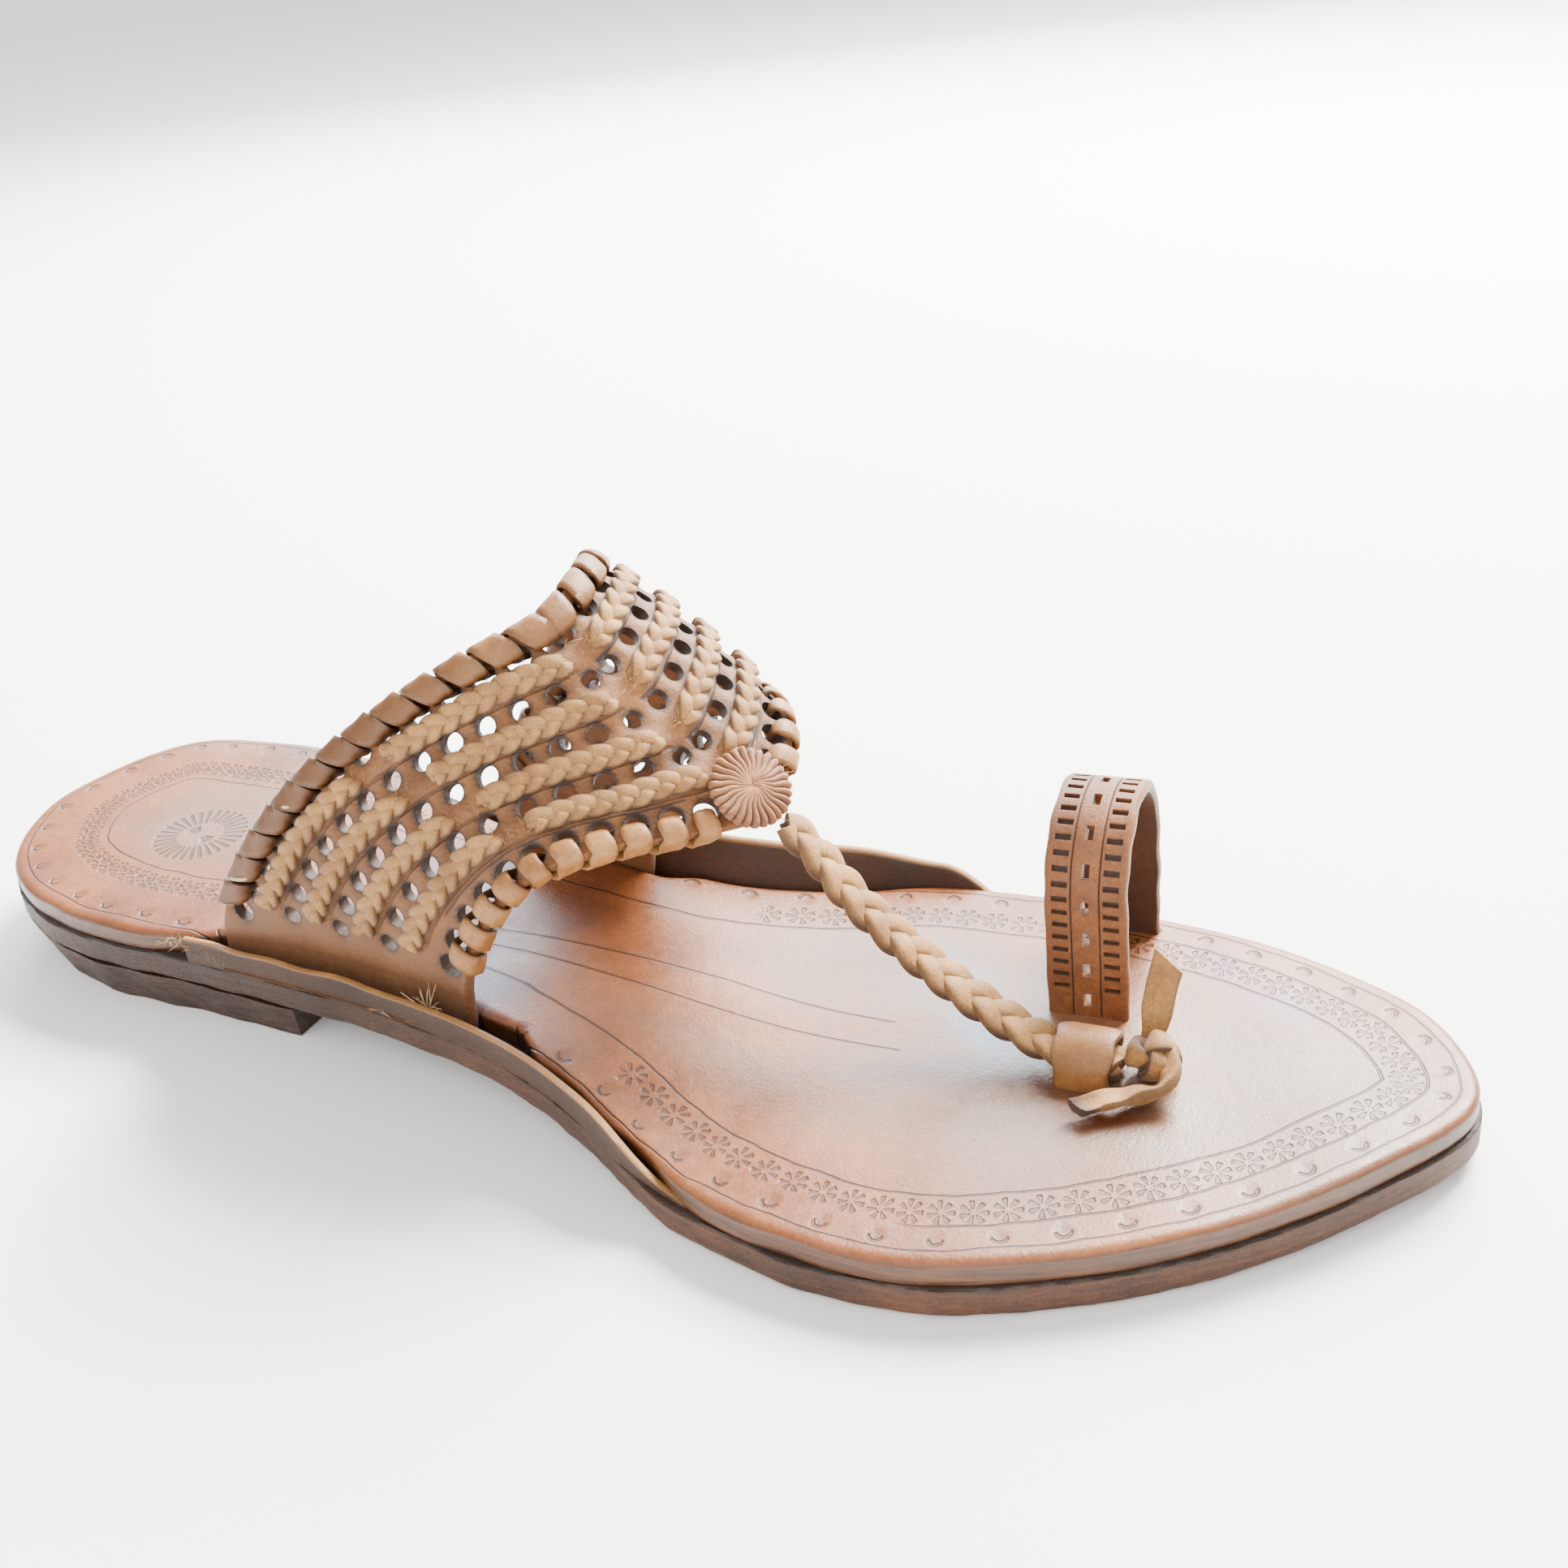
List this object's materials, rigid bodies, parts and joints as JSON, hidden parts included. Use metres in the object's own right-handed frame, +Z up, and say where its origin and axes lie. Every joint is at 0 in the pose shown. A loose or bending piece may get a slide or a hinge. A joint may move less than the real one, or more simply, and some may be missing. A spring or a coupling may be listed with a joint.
{
  "type": "kolhapuri chappal",
  "caption": "Flat leather toe-ring sandal for the right foot, with a punched and braided instep band, plaited toe thong and stacked heel.",
  "frame": {"origin": "on the floor plane under the heel seat, in the middle of the heel lift's lower face", "axes": "+X to the toe, +Y to the medial side (big toe), +Z up"},
  "size_m": [0.2744, 0.0926, 0.0785],
  "materials": {
    "outsole_leather": "vegetable-tanned leather sole, cut edge waxed and darkened, semi-matte",
    "heel_leather": "stacked leather lifts, dark waxed cut edge, semi-matte",
    "insole_leather": "vegetable-tanned buffalo leather, oiled and burnished, satin, stamped",
    "ear_leather": "thin raw-edged vegetable-tanned flap leather, matte",
    "band_leather": "vegetable-tanned goat leather, grain side out, matte to satin",
    "rosette_leather": "pleated tan leather, matte",
    "plait_leather": "plaited raw tan leather strips, matte",
    "ring_leather": "tooled tan leather strap, satin"
  },
  "bodies": {
    "root": {"outsole": "outsole_leather", "heel_lift_1": "heel_leather", "heel_lift_2": "heel_leather", "insole": "insole_leather", "ear_lateral": "ear_leather", "ear_medial": "ear_leather", "instep_band": "band_leather", "rosette": "rosette_leather", "toe_thong": "plait_leather", "thong_wrap": "band_leather", "knot": "plait_leather", "knot_tag_up": "plait_leather", "knot_tag_front": "plait_leather", "toe_ring": "ring_leather"}
  },
  "joints": []
}
